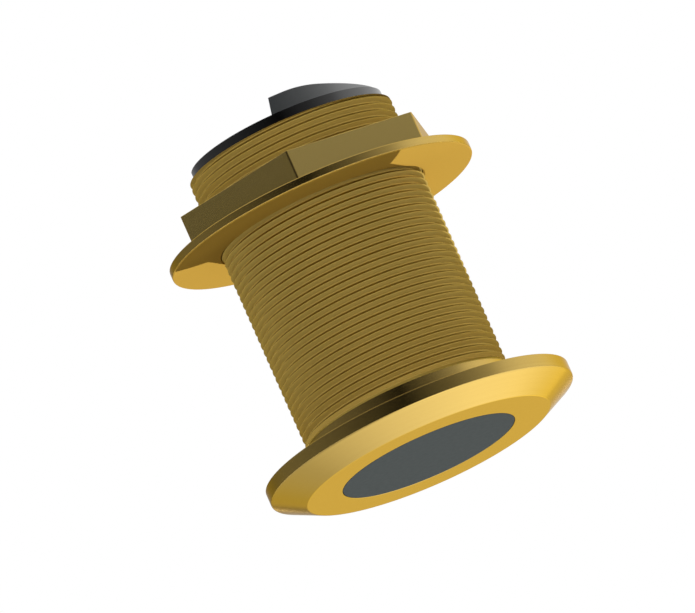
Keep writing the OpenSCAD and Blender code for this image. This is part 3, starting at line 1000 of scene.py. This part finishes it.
@dataclass
class CableCap:
    """The moulded cap on the stem's top, with its half-moon hood and the cable's inlet."""

    edge_r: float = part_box("top_cap")[HIGH].x / MM
    spigot_z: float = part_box("top_cap")[LOW].z / MM
    top_z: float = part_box("top_cap")[HIGH].z / MM
    base_z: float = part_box("thru_hull_housing")[HIGH].z / MM
    base_h: float = 2.9
    end_x: float = -0.6
    draft: float = 11.5
    level_l: float = 9.5
    bend_r: float = 38.0
    bend_steps: int = 16
    toe_inset: float = 1.45
    spigot_r: float = 25.75
    spigot_wall: float = 2.2
    inlet_r: float = 2.9
    inlet_axis_h: float = 1.0
    inlet_depth: float = 9.5
    trough_clearance: float = 0.2
    conductor_hole_r: float = 2.2
    edge_break: float = 0.25

    @property
    def hood_z(self) -> float:
        """Height of the cap's base, where the hood stands."""
        return self.base_z + self.base_h

    @property
    def foot_x(self) -> float:
        """Place of the hood's flat end where it meets the base."""
        return self.end_x - (self.top_z - self.hood_z) * math.tan(math.radians(self.draft))

    @property
    def inlet_z(self) -> float:
        """Height of the inlet's axis."""
        return self.hood_z + self.inlet_axis_h

    @property
    def mouth_x(self) -> float:
        """Place of the inlet's mouth in the hood's flat end."""
        return self.foot_x + self.inlet_axis_h * math.tan(math.radians(self.draft))

    def build(self) -> Workpiece:
        """Cuts the hood from a full-height disc, adds the spigot and cuts the cable's way.

        Returns:
            The finished cap.
        """
        axis_low, axis_high = Vector((0, 0, self.base_z)), Vector((0, 0, self.top_z))
        piece = Workpiece.bar("cap_moulding", self.edge_r, axis_low, axis_high)
        for tool in (self.step_cutter(), self.slope_cutter()):
            piece.combine(tool, "DIFFERENCE")
        with piece.editing():
            bpy.ops.mesh.select_all(action="SELECT")
            bpy.ops.mesh.bisect(plane_co=(0, 0, self.hood_z * MM), plane_no=(0, 0, 1))
        piece.combine(self.spigot(), "UNION")
        for tool in (self.inlet_cutter(), self.trough_cutter(), self.conductor_cutter()):
            piece.combine(tool, "DIFFERENCE")
        piece.weld()
        piece.modify(
            "BEVEL",
            width=self.edge_break * MM,
            segments=BEVEL_STEPS,
            limit_method="ANGLE",
            angle_limit=SMOOTH_ANGLE,
        )
        piece.weld()
        piece.smooth()
        piece.dress(MOULDED_NYLON)
        above = self.hood_z * MM
        piece.dress(TEXTURED_NYLON, lambda centre, normal: centre.z > above)
        # Faces that look up take a darker finish: painted shade against the light from above
        piece.dress(SHADED_TOP_NYLON, lambda centre, normal: normal.z > UPWARD)
        return piece

    def step_cutter(self) -> Workpiece:
        """Makes the tool that clears the half of the disc in front of the hood's flat end.

        Returns:
            The tool.
        """
        past_x, past_z = -self.edge_r - CUT_PAST, self.top_z + CUT_PAST
        drafted_x = self.end_x + CUT_PAST * math.tan(math.radians(self.draft))
        return Workpiece.prism(
            "cap_step",
            [(past_x, self.hood_z), (self.foot_x, self.hood_z), (drafted_x, past_z), (past_x, past_z)],
            self.edge_r + CUT_PAST,
        )

    def slope_cutter(self) -> Workpiece:
        """Makes the tool that slopes the hood down to its toe.

        Returns:
            The tool.
        """
        bend_x, toe_x = self.end_x + self.level_l, self.edge_r - self.toe_inset
        past_x, past_z = self.edge_r + CUT_PAST, self.top_z + CUT_PAST
        slope = math.atan2(self.top_z - self.hood_z, toe_x - bend_x)
        arc_x = bend_x - self.bend_r * math.tan(slope / 2)
        bend_end = 90 - math.degrees(slope)
        bend = arc((arc_x, self.top_z - self.bend_r), self.bend_r, 90, bend_end, self.bend_steps)
        return Workpiece.prism(
            "cap_slope",
            [(past_x, self.hood_z), (past_x, past_z), (arc_x, past_z), *bend, (toe_x, self.hood_z)],
            self.edge_r + CUT_PAST,
        )

    def spigot(self) -> Workpiece:
        """Makes the ring that centres the cap in the bore.

        Returns:
            The ring, from its lower end up into the base.
        """
        inner_r = self.spigot_r - self.spigot_wall
        high = self.base_z + self.base_h / 2
        corners = [
            (inner_r, self.spigot_z),
            (self.spigot_r, self.spigot_z),
            (self.spigot_r, high),
            (inner_r, high),
        ]
        return Workpiece.turned("cap_spigot", [*corners, corners[0]])

    def inlet_cutter(self) -> Workpiece:
        """Makes the tool that bores the cable's inlet in the hood's flat end.

        Returns:
            The tool.
        """
        start = Vector((self.mouth_x - CUT_PAST, 0, self.inlet_z))
        end = Vector((self.mouth_x + self.inlet_depth, 0, self.inlet_z))
        return Workpiece.bar("cap_inlet", self.inlet_r, start, end, sides=HOLE_STEPS)

    def trough_cutter(self) -> Workpiece:
        """Makes the tool that cuts the cable's trough from the rim to the hood.

        Returns:
            The tool.
        """
        floor_z = self.inlet_z - self.inlet_r - self.trough_clearance
        past_x, past_z = -self.edge_r - CUT_PAST, self.top_z + CUT_PAST
        return Workpiece.prism(
            "cap_trough",
            [(past_x, floor_z), (self.foot_x, floor_z), (self.foot_x, past_z), (past_x, past_z)],
            self.inlet_r + self.trough_clearance,
        )

    def conductor_cutter(self) -> Workpiece:
        """Makes the tool that drills the conductors' way down into the stem.

        Returns:
            The tool.
        """
        hole_x = self.mouth_x + self.inlet_depth - self.inlet_r
        low, high = Vector((hole_x, 0, self.base_z - CUT_PAST)), Vector((hole_x, 0, self.inlet_z))
        return Workpiece.bar("cap_conductors", self.conductor_hole_r, low, high, sides=HOLE_STEPS)


@dataclass
class Studio:
    """Pale floor, white surround and soft light.

    The metal mirrors a graded tent and a light table, which the camera doesn't see.
    """

    world_level: float = 0.3
    paper_colour: str = "#F4F3F1"
    floor_drop: float = 0.4
    floor_r: float = 460.0
    # The floor is whole within this radius, and fades out from there
    floor_full_r: float = 120.0
    # Where the metal would mirror floor closer than this, it mirrors the light table instead
    contact_l: float = 60.0
    top_watts: float = 24.0
    top_size: float = 900.0
    top_place: tuple[float, float, float] = (-250.0, 350.0, 1500.0)
    # The two lamps at the sides are alike, the right one at this place and the left one across from it
    side_watts: float = 9.8
    side_size: float = 600.0
    side_place: tuple[float, float, float] = (1290.0, -860.0, -50.0)
    under_level: float = 3.1
    under_angle: float = 0.25
    # Which way the light from below comes from
    under_from: tuple[float, float, float] = (0.204, 0.575, -0.793)
    tent_r: float = 1600.0
    tent_low: float = -260.0
    tent_high: float = 1100.0
    # Level of the tent's wall by shares of a turn: 0 at the rear, 0.25 left, 0.5 in front, 0.75 right
    tent_grades: tuple[Point, ...] = (
        (0.00, 0.62),
        (0.02, 0.45),
        (0.05, 0.36),
        (0.08, 0.34),
        (0.13, 0.24),
        (0.25, 0.20),
        (0.35, 0.135),
        (0.40, 0.09),
        (0.50, 0.015),
        (0.60, 0.18),
        (0.68, 0.45),
        (0.72, 0.82),
        (0.76, 1.0),
        (0.84, 1.12),
        (0.91, 1.02),
        (0.97, 0.84),
    )
    table_r: float = 3200.0
    table_z: float = -900.0
    # To the left of wing_x, the table's rear half reaches further back by wing_l
    wing_x: float = -450.0
    wing_l: float = 2400.0
    # Level of the light table by its place along X, as shares of its graded width from left to right
    table_w: float = 1400.0
    table_grades: tuple[Point, ...] = (
        (0.14, 0.68),
        (0.43, 1.24),
        (0.71, 1.62),
        (0.86, 1.66),
        (1.00, 1.42),
    )

    def build(self) -> None:
        """Makes the world, the tent, the light table, the floor and the lamps."""
        bpy.context.scene.view_settings.view_transform = "Standard"
        self.world()
        self.tent()
        self.light_table()
        self.floor()
        self.soft_lamp("top", self.top_watts, self.top_size, self.top_place)
        side_x, side_y, side_z = self.side_place
        self.soft_lamp("right", self.side_watts, self.side_size, (side_x, side_y, side_z))
        self.soft_lamp("left", self.side_watts, self.side_size, (-side_x, side_y, side_z))
        self.under_lamp()

    def world(self) -> None:
        """White to the camera and in reflections, and a plain level of light otherwise."""
        world = bpy.data.worlds.new("studio")
        bpy.context.scene.world = world
        tree = bare_tree(world)
        path = add_node(tree, "LightPath")
        seen = path.outputs["Is Camera Ray"]
        for kind in ("Is Glossy Ray", "Is Transmission Ray"):
            either = add_node(tree, "Math", {0: seen, 1: path.outputs[kind]}, operation="MAXIMUM")
            seen = either.outputs[0]
        plain = add_node(tree, "Background", {"Color": (1, 1, 1, 1), "Strength": self.world_level})
        white = add_node(tree, "Background", {"Color": (1, 1, 1, 1), "Strength": 1.0})
        mixed = add_node(tree, "MixShader", {0: seen, 1: plain.outputs[0], 2: white.outputs[0]})
        add_node(tree, "OutputWorld", {"Surface": mixed.outputs[0]})

    @staticmethod
    def reflected_only(obj: bpy.types.Object) -> None:
        """Hides a stage object from all but reflections.

        Args:
            obj: The object.
        """
        obj.visible_camera = False
        obj.visible_diffuse = False
        obj.visible_transmission = False
        obj.visible_shadow = False
        obj.visible_volume_scatter = False

    @staticmethod
    def glow(tree: bpy.types.NodeTree, share: bpy.types.NodeSocket, grades: Sequence[Point]) -> None:
        """Makes a surface glow at graded levels.

        Args:
            tree: Node tree of its material.
            share: Output that gives the place along the grades, from 0 to 1.
            grades: Places and the levels there, in order.
        """
        grade = add_node(tree, "ValToRGB", {"Fac": share})
        ramp = grade.color_ramp
        while len(ramp.elements) < len(grades):
            ramp.elements.new(1.0)
        for element, (place, level) in zip(ramp.elements, grades):
            element.position = place
            element.color = (level, level, level, 1)
        light = add_node(tree, "Emission", {"Color": grade.outputs["Color"], "Strength": 1.0})
        add_node(tree, "OutputMaterial", {"Surface": light.outputs[0]})

    def tent(self) -> None:
        """Stands the tent's round wall, black in front, dim at the left and bright at the right."""
        low, high = Vector((0, 0, self.tent_low)), Vector((0, 0, self.tent_high))
        piece = Workpiece.bar("tent_wall", self.tent_r, low, high)
        with piece.editing() as mesh:
            bpy.ops.mesh.select_all(action="DESELECT")
            for face in mesh.faces:
                face.select_set(abs(face.normal.z) > UPWARD)
            bmesh.update_edit_mesh(piece.obj.data)
            bpy.ops.mesh.delete(type="FACE")
        material = bpy.data.materials.new("tent cloth, graded")
        tree = bare_tree(material)
        place = add_node(tree, "TexCoord").outputs["Object"]
        rear_first = add_node(tree, "Mapping", {"Vector": place, "Rotation": (0, 0, math.radians(90))})
        turned = add_node(tree, "TexGradient", {"Vector": rear_first.outputs[0]}, gradient_type="RADIAL")
        self.glow(tree, turned.outputs["Fac"], self.tent_grades)
        piece.obj.data.materials.append(material)
        self.reflected_only(piece.obj)

    def light_table(self) -> None:
        """Lays the light table under everything, brighter towards +X and longer at the left rear."""
        piece = Workpiece.disc("light_table", self.table_r, self.table_z)
        with piece.editing() as mesh:
            bpy.ops.mesh.select_all(action="DESELECT")
            for corner in mesh.verts:
                corner.select_set(corner.co.x < self.wing_x * MM and corner.co.y > 0)
            bmesh.update_edit_mesh(piece.obj.data)
            bpy.ops.transform.translate(value=(0, self.wing_l * MM, 0))
        material = bpy.data.materials.new("light table, graded")
        tree = bare_tree(material)
        place = add_node(tree, "TexCoord").outputs["Object"]
        split = add_node(tree, "SeparateXYZ", {0: place})
        half_w = self.table_w / 2 * MM
        across = add_node(
            tree, "MapRange", {"Value": split.outputs["X"], "From Min": -half_w, "From Max": half_w}
        )
        self.glow(tree, across.outputs["Result"], self.table_grades)
        piece.obj.data.materials.append(material)
        self.reflected_only(piece.obj)

    def floor(self) -> None:
        """Lays a pale floor that shows from above, fades out at its edge and is clear from below."""
        piece = Workpiece.disc("floor", self.floor_r, -self.floor_drop)
        material = bpy.data.materials.new("paper, pale and matt")
        tree = bare_tree(material)
        path = add_node(tree, "LightPath")
        side = add_node(tree, "NewGeometry")
        place = add_node(tree, "TexCoord").outputs["Object"]
        radius = add_node(tree, "VectorMath", {0: place}, operation="LENGTH")
        fade = add_node(
            tree,
            "MapRange",
            {
                "Value": radius.outputs["Value"],
                "From Min": self.floor_full_r * MM,
                "From Max": self.floor_r * MM,
                "To Min": 1.0,
                "To Max": 0.0,
            },
            interpolation_type="SMOOTHSTEP",
        )
        far = add_node(
            tree, "Math", {0: path.outputs["Ray Length"], 1: self.contact_l * MM}, operation="GREATER_THAN"
        )
        mirrored = add_node(
            tree, "Math", {0: path.outputs["Is Glossy Ray"], 1: far.outputs[0]}, operation="MULTIPLY"
        )
        seen = add_node(
            tree, "Math", {0: path.outputs["Is Camera Ray"], 1: mirrored.outputs[0]}, operation="MAXIMUM"
        )
        front = add_node(tree, "Math", {0: 1.0, 1: side.outputs["Backfacing"]}, operation="SUBTRACT")
        above = add_node(tree, "Math", {0: seen.outputs[0], 1: front.outputs[0]}, operation="MULTIPLY")
        share = add_node(
            tree, "Math", {0: above.outputs[0], 1: fade.outputs["Result"]}, operation="MULTIPLY"
        )
        clear = add_node(tree, "BsdfTransparent")
        paper = add_node(tree, "BsdfDiffuse", {"Color": linear_colour(self.paper_colour)})
        mixed = add_node(
            tree, "MixShader", {0: share.outputs[0], 1: clear.outputs[0], 2: paper.outputs[0]}
        )
        add_node(tree, "OutputMaterial", {"Surface": mixed.outputs[0]})
        piece.obj.data.materials.append(material)

    @staticmethod
    def hang(lamp: bpy.types.Light, place: Vector) -> None:
        """Puts a lamp in the scene, turned to the origin. Mirrors show the tent, and not the lamp.

        Args:
            lamp: The lamp.
            place: Where it hangs, in millimetres.
        """
        holder = bpy.data.objects.new(lamp.name, lamp)
        bpy.context.scene.collection.objects.link(holder)
        holder.location = place * MM
        holder.rotation_euler = place.to_track_quat("Z", "Y").to_euler()
        holder.visible_camera = False
        holder.visible_glossy = False

    def soft_lamp(self, name: str, watts: float, size: float, place: tuple[float, float, float]) -> None:
        """Hangs a round soft lamp.

        Args:
            name: Name of the lamp.
            watts: Its power.
            size: Its diameter, in millimetres.
            place: Where it hangs, in millimetres.
        """
        lamp = bpy.data.lights.new(name, "AREA")
        lamp.energy = watts
        lamp.shape = "DISK"
        lamp.size = size * MM
        self.hang(lamp, Vector(place))

    def under_lamp(self) -> None:
        """Sends hard light up from below, behind and to the right, for the shadows under the nut."""
        lamp = bpy.data.lights.new("under", "SUN")
        lamp.energy = self.under_level
        lamp.angle = math.radians(self.under_angle)
        self.hang(lamp, Vector(self.under_from) * self.tent_r)


@dataclass
class PortraitCamera:
    """Orthographic camera below the flange, rolled so that the stem leans to the left."""

    elevation: float = -12.915
    roll: float = 23.89
    frame_width: float = 191.18
    aim: tuple[float, float, float] = (-3.85, 0.0, 47.8)
    distance: float = 600.0

    def build(self) -> None:
        """Makes the camera and gives it to the scene."""
        data = bpy.data.cameras.new("portrait")
        data.type = "ORTHO"
        data.ortho_scale = self.frame_width * MM
        camera = bpy.data.objects.new("portrait", data)
        bpy.context.scene.collection.objects.link(camera)
        tilt, roll = math.radians(self.elevation), math.radians(self.roll)
        back = Vector((0, -math.cos(tilt), math.sin(tilt)))
        level_up = Vector((0, math.sin(tilt), math.cos(tilt)))
        level_right = Vector((1, 0, 0))
        right = level_right * math.cos(roll) - level_up * math.sin(roll)
        up = level_right * math.sin(roll) + level_up * math.cos(roll)
        turn = Matrix((right, up, back)).transposed()
        place = (Vector(self.aim) + back * self.distance) * MM
        camera.matrix_world = Matrix.Translation(place) @ turn.to_4x4()
        bpy.context.scene.camera = camera


def dress_inner_pieces() -> None:
    """Gives each piece inside the stem its finish."""
    for name, finish in INNER_FINISHES.items():
        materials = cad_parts[name].data.materials
        materials.clear()
        materials.append(finish.material())
        LOG.info("%s keeps its solid: %s", name, finish.name)


def main() -> None:
    """Builds the pieces, the studio and the camera in order."""
    logging.basicConfig(level=logging.INFO, format="%(message)s")
    Housing().build().seat("thru_hull_housing", "housing", "bronze")
    HullNut().build().seat("hull_nut", "nut", "bronze")
    Window().build().seat("acoustic_window", "housing", "urethane")
    CableCap().build().seat("top_cap", "housing", "black_plastic")
    dress_inner_pieces()
    Studio().build()
    PortraitCamera().build()


if __name__ == "__main__":
    main()
